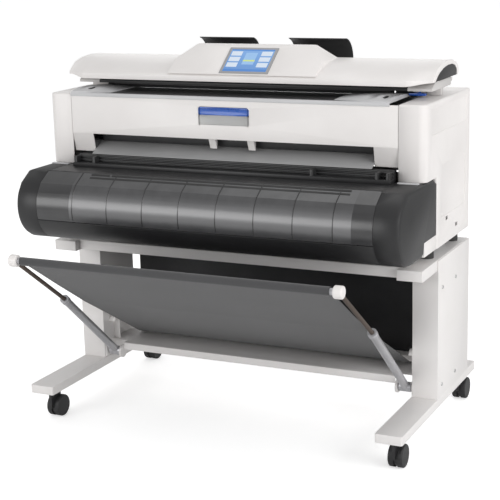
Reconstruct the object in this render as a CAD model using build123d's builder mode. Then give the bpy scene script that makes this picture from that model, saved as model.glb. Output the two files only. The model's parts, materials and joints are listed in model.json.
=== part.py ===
from build123d import *
from math import atan2, cos, degrees, hypot, radians, sin
import os

# Wide-format printer on a wheeled stand, with a scanner on top and a catch basket below.
# X runs along the width, the front faces -Y and Z is up. All sizes are millimetres.

# Overall body
body_half = 640
front_y = -250
back_y = 202
body_top = 1063
body_bottom = 616
seam_half = 556
wall = 4
seam_gap = 0.8
run_gap = 0.3
fit_gap = 0.1

# Stand
foot_width = 85
foot_front = -458
foot_back = 294
foot_bottom = 102
foot_top = 130
leg_width = 79
leg_front = -122
leg_back = 96
skin_back = 204
skin = 4
rail_front = -270
rail_bottom = 543
rail_top = 577
beam_front = -245
beam_depth = 30
bar_depth = 40
shelf_front = -100
shelf_back = 60
shelf_bottom = 160
shelf_top = 184
sheet = 2

# Casters
wheel_radius = 36
wheel_width = 18
caster_trail = 30
caster_front_y = -397
caster_back_y = 250
stem_radius = 6
axle_radius = 5

# Catch basket
arm_x = 528
hub_y = -95
hub_z = 152
hub_radius = 16
pin_radius = 8
tube_radius = 13
tube_bore = 9
tube_length = 400
tube_rise = 41.0
rod_radius = 6.5
rod_inside = 170
rail_y = -656
rail_z = 605
bar_radius = 10
cap_radius = 19
cloth_half = 512
cloth_thick = 3

# Print exit
slot_half = 472
slot_top = 936
plate_low = 874

# Roll deck
deck_x = 560
deck_top = 836
deck_centre_y = -367
deck_centre_z = 728
deck_radius = 112
deck_back = -262
seam_z = 692
deck_wall = 3
spindle_radius = 12
paper_radius = 76
paper_half = 457

# Upper unit and scanner
pivot_y = 184
pivot_z = 1035
table_top = 1066
scan_half = 625
lip_y = -178
lip_bottom = 1105
lip_top = 1122
scan_top = 1167
scan_back = 112
base_low = 1084
base_high = 1108
scan_pivot_y = 98
scan_pivot_z = 1100
screen_x = 24
screen_width = 168
screen_length = 118
face_low = (-176, 1128)
face_high = (-66, 1210)
guide_radius = 73
guide_centre = (48, 1152)
guide_bar = (119, 1127)

# Print engine
drum_axis = (-90, 900)
fuser_axis = (60, 930)
gear_module = 4
drum_teeth = 24
idler_teeth = 16
fuser_teeth = 20

deck_bottom = deck_centre_z - deck_radius
middle_y = (rail_y - cap_radius + caster_back_y + caster_trail + wheel_radius) / 2


def slab(x, y, z, mode=Mode.ADD):
    with Locations(((x[0] + x[1]) / 2, (y[0] + y[1]) / 2, (z[0] + z[1]) / 2)):
        Box(abs(x[1] - x[0]), abs(y[1] - y[0]), abs(z[1] - z[0]), mode=mode)


def round_x(x, y, z, radius, mode=Mode.ADD):
    with Locations(Location(((x[0] + x[1]) / 2, y, z), (0, 90, 0))):
        Cylinder(radius, abs(x[1] - x[0]), mode=mode)


def round_z(x, y, z, radius, mode=Mode.ADD):
    with Locations((x, y, (z[0] + z[1]) / 2)):
        Cylinder(radius, abs(z[1] - z[0]), mode=mode)


def prism_x(x, outline, mode=Mode.ADD):
    with BuildSketch(Plane.YZ.offset(min(x))) as face:
        with BuildLine():
            Polyline(*outline, close=True)
        make_face()
    extrude(face.sketch, amount=abs(x[1] - x[0]), mode=mode)


def along(origin, angle, distance):
    # a point in the YZ plane, forward and up from the origin
    return (origin[0] - distance * cos(radians(angle)), origin[1] + distance * sin(radians(angle)))


def tilted_rod(x, start, end, radius, mode=Mode.ADD):
    dy = end[0] - start[0]
    dz = end[1] - start[1]
    path = Plane(origin=(x, start[0], start[1]), x_dir=(1, 0, 0), z_dir=(0, dy, dz))
    with BuildSketch(path) as section:
        Circle(radius)
    extrude(section.sketch, amount=hypot(dy, dz), mode=mode)


def gear(x, axis, teeth, turn):
    # coarse spur gear with its axle along X; turn is the angle of its first tooth
    pitch = gear_module * teeth / 2
    root = pitch - 1.2 * gear_module
    plane = Plane(origin=(min(x), axis[0], axis[1]), x_dir=(0, 1, 0), z_dir=(1, 0, 0))
    with BuildSketch(plane) as wheel:
        Circle(root)
        with PolarLocations(pitch - 0.3 * gear_module, teeth, turn):
            Trapezoid(1.9 * gear_module, 2.2 * gear_module, 72, rotation=-90)
    extrude(wheel.sketch, amount=abs(x[1] - x[0]))


def save(builder, name):
    # the origin is on the floor, under the middle of the whole machine
    placed = builder.part.moved(Location((0, -middle_y, 0)))
    placed.label = name
    export_step(placed, f"parts/{name}.step")


def sided(side, x):
    return tuple(sorted((side * x[0], side * x[1])))


os.makedirs("parts", exist_ok=True)
sides = {"left": -1, "right": 1}
foot_in = body_half - foot_width
foot_mid = body_half - foot_width / 2
leg_out = body_half - skin + 1
leg_in = leg_out - leg_width


# Stand: feet, legs and top rails
def build_stand_side(name, side):
    with BuildPart() as foot:
        slab(sided(side, (foot_in, body_half)), (foot_front, foot_back), (foot_bottom, foot_top))
        fillet(foot.edges().filter_by(Axis.Z), 6)
        slab(sided(side, (foot_in + wall, body_half - wall)), (foot_front + wall, foot_back - wall),
             (foot_bottom + wall, foot_top - wall), Mode.SUBTRACT)
        for y in (caster_front_y, caster_back_y):
            round_z(side * foot_mid, y, (foot_bottom + 1, foot_top - 1), 16)
            round_z(side * foot_mid, y, (foot_bottom - 1, foot_top - wall), stem_radius + fit_gap,
                    Mode.SUBTRACT)
    save(foot, f"{name}_foot")

    with BuildPart() as leg:
        slab(sided(side, (leg_in, leg_out)), (leg_front, leg_back), (foot_top, rail_bottom))
        slab(sided(side, (leg_in + sheet, leg_out - sheet)), (leg_front + sheet, leg_back - sheet),
             (foot_top - 1, rail_bottom + 1), Mode.SUBTRACT)
        slab(sided(side, (leg_out, leg_out + skin)), (leg_front, skin_back), (foot_top, rail_top - 2))
    save(leg, f"{name}_leg")

    with BuildPart() as rail:
        slab(sided(side, (leg_in, leg_out)), (rail_front, skin_back - 4), (rail_bottom, rail_top))
        fillet(rail.edges().filter_by(Axis.X).group_by(Axis.Y)[0], 3)
        slab(sided(side, (leg_in + 3, leg_out - 3)), (rail_front + 3, skin_back - 7),
             (rail_bottom - 1, rail_top - 3), Mode.SUBTRACT)
    save(rail, f"{name}_top_rail")


for name, side in sides.items():
    build_stand_side(name, side)

# Stand: cross members, shelf and back panel
with BuildPart() as beam:
    slab((-leg_in, leg_in), (beam_front, beam_front + beam_depth), (rail_bottom + 2, rail_top))
    slab((-leg_in - 1, leg_in + 1), (beam_front + sheet, beam_front + beam_depth + 1),
         (rail_bottom + 2 + sheet, rail_top - sheet), Mode.SUBTRACT)
save(beam, "front_cross_beam")

rear_bar = (leg_back, leg_back + bar_depth)
with BuildPart() as rear_bars:
    for z in ((shelf_bottom, shelf_bottom + 30), (rail_bottom - 40, rail_bottom)):
        slab((-leg_out, leg_out), rear_bar, z)
        slab((-leg_out - 1, leg_out + 1), (rear_bar[0] + sheet, rear_bar[1] - sheet),
             (z[0] + sheet, z[1] - sheet), Mode.SUBTRACT)
save(rear_bars, "rear_cross_bars")

with BuildPart() as shelf:
    slab((-leg_in, leg_in), (shelf_front, shelf_back), (shelf_bottom, shelf_top))
    slab((-leg_in - 1, leg_in + 1), (shelf_front + sheet, shelf_back - sheet),
         (shelf_bottom - 1, shelf_top - sheet), Mode.SUBTRACT)
    for side in (-1, 1):
        slab(sided(side, (arm_x - 33, leg_in + 1)), (shelf_front - 1, hub_y + hub_radius + 8),
             (shelf_bottom - 1, shelf_top + 1), Mode.SUBTRACT)
save(shelf, "lower_shelf")

with BuildPart() as panel:
    slab((-leg_in + 5, leg_in - 5), (rear_bar[1], rear_bar[1] + 3), (shelf_bottom, rail_bottom))
save(panel, "rear_panel")

bolt_radius = 5
with BuildPart() as bolts:
    for side in (-1, 1):
        for y in (leg_front + 40, leg_back - 40):
            for z in (foot_top + 40, rail_bottom - 60):
                round_x(sided(side, (leg_out + skin, leg_out + skin + 3)), y, z, bolt_radius)
save(bolts, "stand_bolts")


# Casters: a hooded twin-wheel fork and its wheels, trailing behind the stem
def build_caster(name, side, y):
    x = side * foot_mid
    wheel_y = y + caster_trail
    hub_half = 5
    with BuildPart() as fork:
        round_z(x, y, (foot_bottom - 4, foot_bottom - run_gap), 18)
        round_z(x, y, (foot_bottom - 5, foot_top - wall - 2), stem_radius)
        round_x((x - hub_half, x + hub_half), wheel_y, wheel_radius, wheel_radius - 4)
        slab((x - hub_half, x + hub_half), (y - 16, wheel_y + 10), (wheel_radius, foot_bottom - 4))
        round_x((x - 60, x + 60), wheel_y, wheel_radius, axle_radius + fit_gap, Mode.SUBTRACT)
    save(fork, f"caster_fork_{name}")
    with BuildPart() as wheels:
        for turn in (-1, 1):
            span = sided(turn, (hub_half + run_gap, hub_half + wheel_width))
            round_x((x + span[0], x + span[1]), wheel_y, wheel_radius, wheel_radius)
        fillet(wheels.edges().filter_by(GeomType.CIRCLE).group_by(Axis.X)[0], 4)
        fillet(wheels.edges().filter_by(GeomType.CIRCLE).group_by(Axis.X)[-1], 4)
        round_x((x - hub_half - 1, x + hub_half + 1), wheel_y, wheel_radius, axle_radius)
    save(wheels, f"caster_wheels_{name}")


for name, side in sides.items():
    build_caster(f"front_{name}", side, caster_front_y)
    build_caster(f"back_{name}", side, caster_back_y)

# Basket: hooked brackets with the pivot pins, on the inner faces of the legs
hub_axis = (hub_y, hub_z)
hook_y = hub_y + 40
with BuildPart() as hooks:
    for side in (-1, 1):
        inner = leg_in
        slab(sided(side, (inner - 4, inner)), (hub_y - 22, hub_y + 22), (hub_z - 20, hub_z + 26))
        round_x(sided(side, (arm_x - 24, inner)), hub_y, hub_z, pin_radius)
        round_x(sided(side, (arm_x - 30, arm_x - 22)), hub_y, hub_z, 22)
        slab(sided(side, (inner - 24, inner)), (hook_y, hook_y + 4), (shelf_top, hub_z + 100))
        with BuildSketch(Plane.YZ.offset(sided(side, (inner - 24, inner))[0])) as curl:
            with BuildLine():
                CenterArc((hook_y - 14, hub_z + 100), 18, 0, 180)
                Line((hook_y - 32, hub_z + 100), (hook_y - 28, hub_z + 100))
                CenterArc((hook_y - 14, hub_z + 100), 14, 0, 180)
                Line((hook_y, hub_z + 100), (hook_y + 4, hub_z + 100))
            make_face()
        extrude(curl.sketch, amount=24)
save(hooks, "arm_hooks")

# Basket: arm tubes turning on the pins, rods sliding out of them, and the front bar
tube_end = along(hub_axis, tube_rise, tube_length)
rod_start = along(hub_axis, tube_rise, tube_length - rod_inside)
rail_axis = (rail_y, rail_z)
rod_bend = along(hub_axis, tube_rise, tube_length + 8)
rod_turn = degrees(atan2(rail_z - rod_bend[1], rod_bend[0] - rail_y))
rod_tip = along(rail_axis, rod_turn, -cap_radius + 2)
with BuildPart() as tubes:
    for x in (-arm_x, arm_x):
        round_x((x - 20, x + 20), hub_y, hub_z, hub_radius)
        tilted_rod(x, hub_axis, tube_end, tube_radius)
        tilted_rod(x, along(hub_axis, tube_rise, tube_length - 14),
                   along(hub_axis, tube_rise, tube_length + 4),
                   tube_radius + 2)
        tilted_rod(x, along(hub_axis, tube_rise, hub_radius + 8),
                   along(hub_axis, tube_rise, tube_length - 20),
                   tube_bore, Mode.SUBTRACT)
        tilted_rod(x, along(hub_axis, tube_rise, tube_length - 30),
                   along(hub_axis, tube_rise, tube_length + 10), rod_radius + fit_gap, Mode.SUBTRACT)
        round_x((x - 30, x + 30), hub_y, hub_z, pin_radius + fit_gap, Mode.SUBTRACT)
save(tubes, "arm_tubes")

with BuildPart() as rods:
    for x in (-arm_x, arm_x):
        tilted_rod(x, rod_start, rod_bend, rod_radius)
        with Locations((x, rod_bend[0], rod_bend[1])):
            Sphere(rod_radius + 1)
        tilted_rod(x, rod_bend, rod_tip, rod_radius)
save(rods, "arm_rods")

with BuildPart() as front_bar:
    round_x((-arm_x + 12, arm_x - 12), rail_y, rail_z, bar_radius)
    round_x((-arm_x + 11, arm_x - 11), rail_y, rail_z, bar_radius - 2, Mode.SUBTRACT)
save(front_bar, "basket_bar")

with BuildPart() as caps:
    for side in (-1, 1):
        round_x(sided(side, (arm_x - 14, arm_x + 14)), rail_y, rail_z, cap_radius)
    fillet(caps.edges().filter_by(GeomType.CIRCLE), 5)
    for side in (-1, 1):
        round_x(sided(side, (arm_x - 16, arm_x - 11)), rail_y, rail_z, bar_radius + fit_gap, Mode.SUBTRACT)
        tilted_rod(side * arm_x, along(rail_axis, rod_turn, -cap_radius - 6),
                   along(rail_axis, rod_turn, -cap_radius + 2), rod_radius + fit_gap, Mode.SUBTRACT)
save(caps, "bar_end_caps")

# Basket: the cloth hangs from the bar to the back of the shelf, in two stretches
cloth_back = (42, shelf_top + 0.4)
cloth_low = (-120, 275)
cloth_split = (-330, 398)
cloth_front = (rail_y + 11, rail_z - 7.6)


def cloth_band(points):
    lower = [(y, z) for y, z in points]
    upper = [(y - cloth_thick * 0.6, z + cloth_thick) for y, z in points]
    prism_x((-cloth_half, cloth_half), lower + upper[::-1])


with BuildPart() as cloth_a:
    cloth_band([cloth_back, (-60, 240), cloth_low, (-210, 327), cloth_split])
save(cloth_a, "catch_cloth_lower")
with BuildPart() as cloth_b:
    cloth_band([(cloth_split[0] - 1, cloth_split[1] + 1), (-450, 472), (-560, 542), cloth_front])
save(cloth_b, "catch_cloth_upper")

# Printer body: feet, base tray and side plates
plate_x = seam_half - 5
with BuildPart() as pads:
    for side in (-1, 1):
        for y in (-100, 150):
            round_z(side * (leg_in + leg_width / 2), y, (rail_top, body_bottom), 20)
save(pads, "printer_feet")

with BuildPart() as tray:
    slab((-body_half + wall + 0.5, body_half - wall - 0.5), (-129, back_y - wall - 0.5),
         (body_bottom, body_bottom + 3))
    slab((-seam_half, seam_half), (deck_back, -134), (body_bottom, body_bottom + 3))
save(tray, "base_tray")

gear_x = seam_half - 22
axle_span = hypot(fuser_axis[0] - drum_axis[0], fuser_axis[1] - drum_axis[1])
axle_turn = atan2(fuser_axis[1] - drum_axis[1], fuser_axis[0] - drum_axis[0])
idler_reach = axle_span * (drum_teeth + idler_teeth) / (drum_teeth + 2 * idler_teeth + fuser_teeth)
idler_axis = (drum_axis[0] + idler_reach * cos(axle_turn), drum_axis[1] + idler_reach * sin(axle_turn))
with BuildPart() as plates:
    for side in (-1, 1):
        slab(sided(side, (plate_x - 3, plate_x)), (-185, back_y - wall),
             (body_bottom + 3, body_top - 18))
        for axis in (drum_axis, fuser_axis):
            round_x(sided(side, (plate_x - 5, plate_x + 2)), axis[0], axis[1], 10 + fit_gap, Mode.SUBTRACT)
        round_x(sided(side, (plate_x - 5, plate_x + 2)), pivot_y, pivot_z, 6 + fit_gap, Mode.SUBTRACT)
    round_x((gear_x - 12, plate_x), idler_axis[0], idler_axis[1], 5)
save(plates, "side_plates")


# Printer body: side covers, open towards the machine
def build_side_cover(name, side):
    shelf_low = 660
    notch_front = -255
    with BuildPart() as cover:
        x_in = seam_half + seam_gap
        for y0, z0, z1, corner in ((front_y, deck_top + run_gap, body_top, 26), (-140, body_bottom, 840, 10)):
            with BuildSketch(Plane.XY.offset(z0)) as outer:
                with Locations((side * (x_in + body_half) / 2, (y0 + back_y) / 2)):
                    Rectangle(body_half - x_in, back_y - y0)
                outside = outer.vertices().group_by(Axis.X)[-1 if side > 0 else 0]
                fillet(outside.sort_by(Axis.Y)[0], corner)
                fillet(outer.vertices().group_by(Axis.X)[-1 if side > 0 else 0].sort_by(Axis.Y)[-1], 10)
            extrude(outer.sketch, amount=z1 - z0)
        slab(sided(side, (x_in, body_half - 2)), (notch_front, -137), (body_bottom, shelf_low - run_gap))
        crown = cover.faces().sort_by(Axis.Z)[-1]
        fillet(crown.edges(), 6)
        for y0, z0, z1, corner in ((front_y, deck_top + run_gap + wall, body_top - wall, 22),
                                   (-140, body_bottom - 1, 841 - wall, 6)):
            with BuildSketch(Plane.XY.offset(z0)) as inner:
                with Locations((side * (x_in - 5 + body_half - wall) / 2, (y0 + back_y) / 2)):
                    Rectangle(body_half - wall - x_in + 5, back_y - y0 - 2 * wall)
                outside = inner.vertices().group_by(Axis.X)[-1 if side > 0 else 0]
                fillet(outside.sort_by(Axis.Y)[0], corner)
            extrude(inner.sketch, amount=z1 - z0, mode=Mode.SUBTRACT)
        slab(sided(side, (x_in - 5, body_half - 2 - wall)), (notch_front + wall, -140),
             (body_bottom + wall, shelf_low - run_gap - wall), Mode.SUBTRACT)
        for y, z in (((-190, 160), (966, 1044)), ((-93, 150), (704, 866))):
            slab(sided(side, (body_half - 1.5, body_half + 1)), y, z, Mode.SUBTRACT)
        for y, z in ((-40, 692), (62, 652)):
            slab(sided(side, (body_half - 10, body_half + 1)), (y - 11, y + 11), (z - 6, z + 6),
                 Mode.SUBTRACT)
    save(cover, f"{name}_side_cover")


for name, side in sides.items():
    build_side_cover(name, side)

inlet_x = 380
inlet_z = 690
with BuildPart() as rear:
    slab((-seam_half, seam_half), (back_y - wall, back_y), (body_bottom, body_top - 1))
    slab((-seam_half, seam_half), (back_y - 10, back_y), (body_top - 7, body_top - 1))
    for column in range(-3, 4):
        for row in range(9):
            slab((column * 120 - 45, column * 120 + 45), (back_y - 12, back_y + 1),
                 (780 + row * 14, 785 + row * 14), Mode.SUBTRACT)
    slab((inlet_x - 24, inlet_x + 24), (back_y - 12, back_y + 1), (inlet_z - 14, inlet_z + 14), Mode.SUBTRACT)
save(rear, "rear_cover")

with BuildPart() as inlet:
    slab((inlet_x - 23.9, inlet_x + 23.9), (back_y - 26, back_y - 1), (inlet_z - 13.9, inlet_z + 13.9))
    slab((inlet_x - 14, inlet_x + 14), (back_y - 18, back_y), (inlet_z - 9, inlet_z + 9), Mode.SUBTRACT)
    for dx, dz in ((-7, -3), (7, -3), (0, 3)):
        slab((inlet_x + dx - 1, inlet_x + dx + 1), (back_y - 20, back_y - 4),
             (inlet_z + dz - 2, inlet_z + dz + 2))
save(inlet, "power_inlet")

# Print exit: sloping plate above a ribbed guide on top of the roll deck
with BuildPart() as plate:
    prism_x((-slot_half - 7, slot_half + 7),
            [(-200, 906), (-262, plate_low), (-262, plate_low - sheet), (-198, 904)])
    slab((-slot_half - 7, slot_half + 7), (-200, -132), (904, 906))
    slab((-plate_x + 3, plate_x - 3), (-185, -150), (904, 906))
save(plate, "exit_plate")

guide_low = deck_top
with BuildPart() as guide:
    slab((-530, 548), (-262, -240), (guide_low, plate_low - 3))
    slab((-530, 548), (-300, -262), (guide_low, guide_low + 12))
    for z in (guide_low + 16, guide_low + 26):
        slab((-530, 548), (-270, -262), (z, z + 5))
    for x in (-522, -455, 300, 506, 540):
        slab((x - 5, x + 5), (-296, -262), (guide_low + 12, plate_low - 6))
save(guide, "exit_guide")

# Print engine: drum and fuser on axles between the side plates, print head, motor
with BuildPart() as drum:
    round_x((-480, 480), drum_axis[0], drum_axis[1], 40)
    round_x((-481, 481), drum_axis[0], drum_axis[1], 37, Mode.SUBTRACT)
    for side in (-1, 1):
        round_x(sided(side, (470, 480)), drum_axis[0], drum_axis[1], 38)
    round_x((-plate_x, plate_x), drum_axis[0], drum_axis[1], 10)
    gear((gear_x - 10, gear_x), drum_axis, drum_teeth, degrees(axle_turn) + 180 / drum_teeth)
save(drum, "print_drum")

with BuildPart() as idler:
    gear((gear_x - 10, gear_x), idler_axis, idler_teeth, degrees(axle_turn))
    round_x((gear_x - 11, gear_x + 1), idler_axis[0], idler_axis[1], 5 + fit_gap, Mode.SUBTRACT)
save(idler, "idler_gear")

with BuildPart() as fuser:
    round_x((-480, 480), fuser_axis[0], fuser_axis[1], 30)
    round_x((-481, 481), fuser_axis[0], fuser_axis[1], 27, Mode.SUBTRACT)
    for side in (-1, 1):
        round_x(sided(side, (470, 480)), fuser_axis[0], fuser_axis[1], 28)
    round_x((-plate_x, plate_x), fuser_axis[0], fuser_axis[1], 10)
    gear((gear_x - 10, gear_x), fuser_axis, fuser_teeth, degrees(axle_turn) + 180 + 180 / fuser_teeth)
save(fuser, "fuser_roller")

head_x = plate_x - 10
with BuildPart() as head:
    slab((-head_x, head_x), (-130, -104), (958, 990))
    slab((-470, 470), (-124, -110), (945, 959))
save(head, "print_head")

with BuildPart() as motor:
    slab((-300, 300), (60, 180), (body_bottom + 3, 700))
    round_x((300, 360), 120, 665, 30)
save(motor, "power_and_drive")


# Roll deck: section of the rounded front, shared by the caps, the housing and the door
def deck_point(angle, inset=0):
    radius = deck_radius - inset
    return (deck_centre_y - radius * cos(radians(angle)), deck_centre_z + radius * sin(radians(angle)))


door_top_y = -398
seam_angle = degrees(-atan2(deck_centre_z - seam_z, deck_radius))
facet_high = 43.8
facet_low = 26.8


def front_curve(inset, low_angle):
    # from the top edge down the two facets and round the front, for use inside a line context
    first = (door_top_y, deck_top - inset)
    second = deck_point(facet_high, inset)
    third = deck_point(facet_low, inset)
    Polyline(first, second, third)
    ThreePointArc(third, deck_point((facet_low + low_angle) / 2, inset), deck_point(low_angle, inset))


# Roll deck: end caps with the spindle bearings and the door's hinge bosses
door_hinge = (door_top_y - 2, deck_top - 8)
spindle_axis = (-360, 727)
low_angle = -90


def cap_section(x, inset, rim):
    # the cap's outline at one height, drawn in by inset at the front and by rim at the back
    with BuildSketch(Plane.YZ.offset(x)) as outline:
        with BuildLine():
            front_curve(inset, low_angle)
            Polyline(deck_point(low_angle, inset), (deck_back - rim, deck_bottom + inset),
                     (-256 - rim, 660 + rim), (-140.5 - rim, 660 + rim), (-140.5 - rim, 816),
                     (-158 - rim, deck_top - inset), (door_top_y, deck_top - inset))
        make_face()
    return outline.sketch


for name, side in sides.items():
    with BuildPart() as cap:
        rings = ((deck_x, 0), (body_half - 16, 0), (body_half - 7, 4), (body_half - 2, 13))
        loft([cap_section(side * reach, inset, 0) for reach, inset in rings], ruled=True)
        rings = ((deck_x - 1, wall), (body_half - 16, wall), (body_half - 2 - wall, wall + 8))
        loft([cap_section(side * reach, inset, wall) for reach, inset in rings], ruled=True,
             mode=Mode.SUBTRACT)
        round_x(sided(side, (deck_x, body_half - 5)), *spindle_axis, spindle_radius + 10)
        round_x(sided(side, (deck_x - 1, deck_x + 16)), *spindle_axis, spindle_radius + fit_gap,
                Mode.SUBTRACT)
        round_x(sided(side, (deck_x, deck_x + 10)), *door_hinge, 7)
        round_x(sided(side, (deck_x - 1, deck_x + 8)), *door_hinge, 4 + fit_gap, Mode.SUBTRACT)
    save(cap, f"{name}_deck_cap")

# Roll deck: housing with the lower skirt, floor, back wall and top plate
housing_x = (-deck_x, deck_x)
with BuildPart() as housing:
    with BuildSketch(Plane.YZ.offset(housing_x[0])) as shell:
        with BuildLine():
            skirt_top = seam_angle - 1.2
            ThreePointArc(deck_point(skirt_top), deck_point((skirt_top + low_angle) / 2),
                          deck_point(low_angle))
            Polyline(deck_point(low_angle), (deck_back, deck_bottom),
                     (deck_back, deck_top), (door_top_y + 7, deck_top),
                     (door_top_y + 7, deck_top - deck_wall), (deck_back - deck_wall, deck_top - deck_wall),
                     (deck_back - deck_wall, deck_bottom + deck_wall),
                     deck_point(low_angle, deck_wall))
            ThreePointArc(deck_point(low_angle, deck_wall),
                          deck_point((skirt_top + low_angle) / 2, deck_wall), deck_point(skirt_top, deck_wall))
            Line(deck_point(skirt_top, deck_wall), deck_point(skirt_top))
        make_face()
    extrude(shell.sketch, amount=2 * deck_x)
save(housing, "deck_housing")

# Roll deck: front door with its ribs, hinged along its top edge
door_half = deck_x - 1
rib_pitch = 124
with BuildPart() as door:
    with BuildSketch(Plane.YZ.offset(-door_half)) as shell:
        with BuildLine():
            front_curve(0, seam_angle)
            Line(deck_point(seam_angle), deck_point(seam_angle, deck_wall))
            front_curve(deck_wall, seam_angle)
            Line((door_top_y, deck_top - deck_wall), (door_top_y, deck_top))
        make_face()
    extrude(shell.sketch, amount=2 * door_half)
    for index in range(8):
        x = -429 + index * rib_pitch
        with BuildSketch(Plane.YZ.offset(x - 2)) as rib:
            with BuildLine():
                front_curve(deck_wall - 1, seam_angle)
                Line(deck_point(seam_angle, deck_wall - 1), deck_point(seam_angle, deck_wall + 6))
                front_curve(deck_wall + 6, seam_angle)
                Line((door_top_y, deck_top - deck_wall - 6), (door_top_y, deck_top - deck_wall + 1))
            make_face()
        extrude(rib.sketch, amount=4)
    round_x((-door_half, door_half), *door_hinge, 5.5)
    round_x((-deck_x - 7, deck_x + 7), *door_hinge, 4)
save(door, "deck_door")

# Roll deck: paper roll on its spindle
with BuildPart() as roll:
    round_x((-paper_half, paper_half), *spindle_axis, paper_radius)
    round_x((-paper_half - 1, paper_half + 1), *spindle_axis, 38, Mode.SUBTRACT)
save(roll, "media_roll")

with BuildPart() as spindle:
    round_x((-deck_x - 14, deck_x + 14), *spindle_axis, spindle_radius)
    for side in (-1, 1):
        round_x(sided(side, (paper_half - 60, paper_half)), *spindle_axis, 38)
        round_x(sided(side, (paper_half, paper_half + 8)), *spindle_axis, 60)
save(spindle, "roll_spindle")

# Upper unit: frame with its hinge pins and the top deck
frame_x = plate_x - 6
with BuildPart() as frame:
    for side in (-1, 1):
        slab(sided(side, (frame_x - 4, frame_x)), (front_y + 10, pivot_y), (968, body_top - 7))
        round_x(sided(side, (frame_x - 4, frame_x)), pivot_y, pivot_z, 11)
        slab(sided(side, (frame_x - 5, frame_x + 1)), (pivot_y - 34, pivot_y + 1),
             (960, pivot_z - 11), Mode.SUBTRACT)
        round_x(sided(side, (frame_x - 4, plate_x + 1)), pivot_y, pivot_z, 6)
    slab((-seam_half + 2, seam_half - 2), (-60, pivot_y - 9), (body_top - 7, body_top - 1))
    slab((-frame_x, frame_x), (-62, -30), (1000, body_top - 7))
save(frame, "upper_frame")

# Upper unit: front cover with the handle recess, the slot corners and the exit fingers
handle_x = -8
handle_half = 87
handle_z = (1011, 1035)
latch_axis = (front_y + 5, handle_z[1] - 4)
front_half = seam_half - seam_gap
with BuildPart() as front:
    slab((-front_half, front_half), (front_y, front_y + wall), (slot_top, body_top - 3))
    fillet(front.edges().filter_by(Axis.X).group_by(Axis.Y)[0], 1.5)
    for side in (-1, 1):
        prism_x(sided(side, (slot_half + 8, front_half)),
                [(front_y, slot_top + 1), (front_y + 12, plate_low + 3), (front_y + 15, plate_low + 3),
                 (front_y + 4, slot_top + 1)])
        slab(sided(side, (frame_x - 12, frame_x - 4)), (front_y + wall, front_y + 40), (985, 1045))
    slab((-front_half, front_half), (front_y, front_y + 40), (slot_top, slot_top + 3))
    slab((handle_x - handle_half - 6, handle_x + handle_half + 6), (front_y + wall - 1, front_y + 26),
         (974, handle_z[1] + 6))
    slab((handle_x - handle_half, handle_x + handle_half), (front_y - 1, front_y + 22),
         (980, handle_z[1] + 2), Mode.SUBTRACT)
    round_x((handle_x - handle_half - 3.5, handle_x + handle_half + 3.5), *latch_axis, 3 + fit_gap,
            Mode.SUBTRACT)
    for x in (-55, 77):
        prism_x((x - 11, x + 11), [(front_y + 8, slot_top + 1), (front_y + 20, slot_top - 32),
                                   (front_y + 24, slot_top - 32), (front_y + 26, slot_top + 1)])
save(front, "front_cover")

with BuildPart() as latch:
    slab((handle_x - handle_half + 1, handle_x + handle_half - 1), (front_y + 1, front_y + 5), handle_z)
    slab((handle_x - handle_half + 1, handle_x + handle_half - 1), (front_y + 1, front_y + 19),
         (handle_z[1] - 10, handle_z[1] - 2))
    fillet(latch.edges().filter_by(Axis.X).group_by(Axis.Y)[0], 1.2)
    round_x((handle_x - handle_half - 3, handle_x + handle_half + 3), *latch_axis, 3)
save(latch, "latch_handle")

# Upper unit: document table with light end pieces
table_x = (-470, 375)
table_back = -62
with BuildPart() as table:
    slab(table_x, (front_y + 2, table_back), (table_top - 4, table_top))
    slab((table_x[0], table_x[1]), (front_y, front_y + 3), (body_top - 3, table_top))
    slab((-500, 500), (front_y + 10, table_back), (body_top - 7, table_top - 4))
save(table, "document_table")

with BuildPart() as ends:
    for x in ((-554, table_x[0]), (table_x[1], 530)):
        slab(x, (front_y, table_back), (table_top - 4, table_top + 3))
        middle = (x[0] + x[1]) / 2
        for dx in (-26, 26):
            slab((middle + dx - 12, middle + dx + 12), (-200, -120), (table_top + 1, table_top + 4),
                 Mode.SUBTRACT)
        slab((x[0] + 2, x[1] - 2), (front_y + 6, table_back), (body_top - 7, table_top - 4))
    slab((-500.2, 500.2), (front_y + 5, table_back + 1), (body_top - 9, table_top - 4), Mode.SUBTRACT)
save(ends, "table_ends")

# Scanner: base with its pedestals and bearing blocks
lever_axis = (546, -32)
feed_axis = (-45, 1100)
exit_axis = (70, 1100)
feed_radius = 9
base_half = scan_half - 14
base_front = -105
with BuildPart() as scan_base:
    prism_x((-base_half, base_half),
            [(base_front, base_low), (base_front, base_low + 8), (base_front + 30, base_high),
             (scan_pivot_y - 12, base_high), (scan_pivot_y - 12, base_low)])
    for side in (-1, 1):
        slab(sided(side, (480, 550)), (-50, 80), (body_top - 1, base_low))
        slab(sided(side, (560, 612)), (-22, 0), (body_top + 1, base_low))
    for axis in (feed_axis, exit_axis):
        round_x((-base_half + 12, base_half - 12), *axis, feed_radius + 3, Mode.SUBTRACT)
        round_x((-base_half + 4, base_half - 4), *axis, 4 + fit_gap, Mode.SUBTRACT)
    for side in (-1, 1):
        slab(sided(side, (base_half - 11, base_half - 1)), (scan_pivot_y - 20, scan_pivot_y - 12),
             (base_low, scan_pivot_z + 6))
        slab(sided(side, (base_half - 11, base_half - 1)), (scan_pivot_y - 13, scan_pivot_y),
             (scan_pivot_z - 6, scan_pivot_z + 6))
        round_x(sided(side, (base_half - 11, base_half - 1)), scan_pivot_y, scan_pivot_z, 6)
        round_x(sided(side, (base_half - 12, base_half)), scan_pivot_y, scan_pivot_z,
                3 + fit_gap, Mode.SUBTRACT)
    slab((522, 570), (-54, -12), (body_top - 2, table_top + 9), Mode.SUBTRACT)
    round_z(*lever_axis, (table_top + 8, base_low + 6), 3 + fit_gap, Mode.SUBTRACT)
save(scan_base, "scanner_base")

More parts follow.
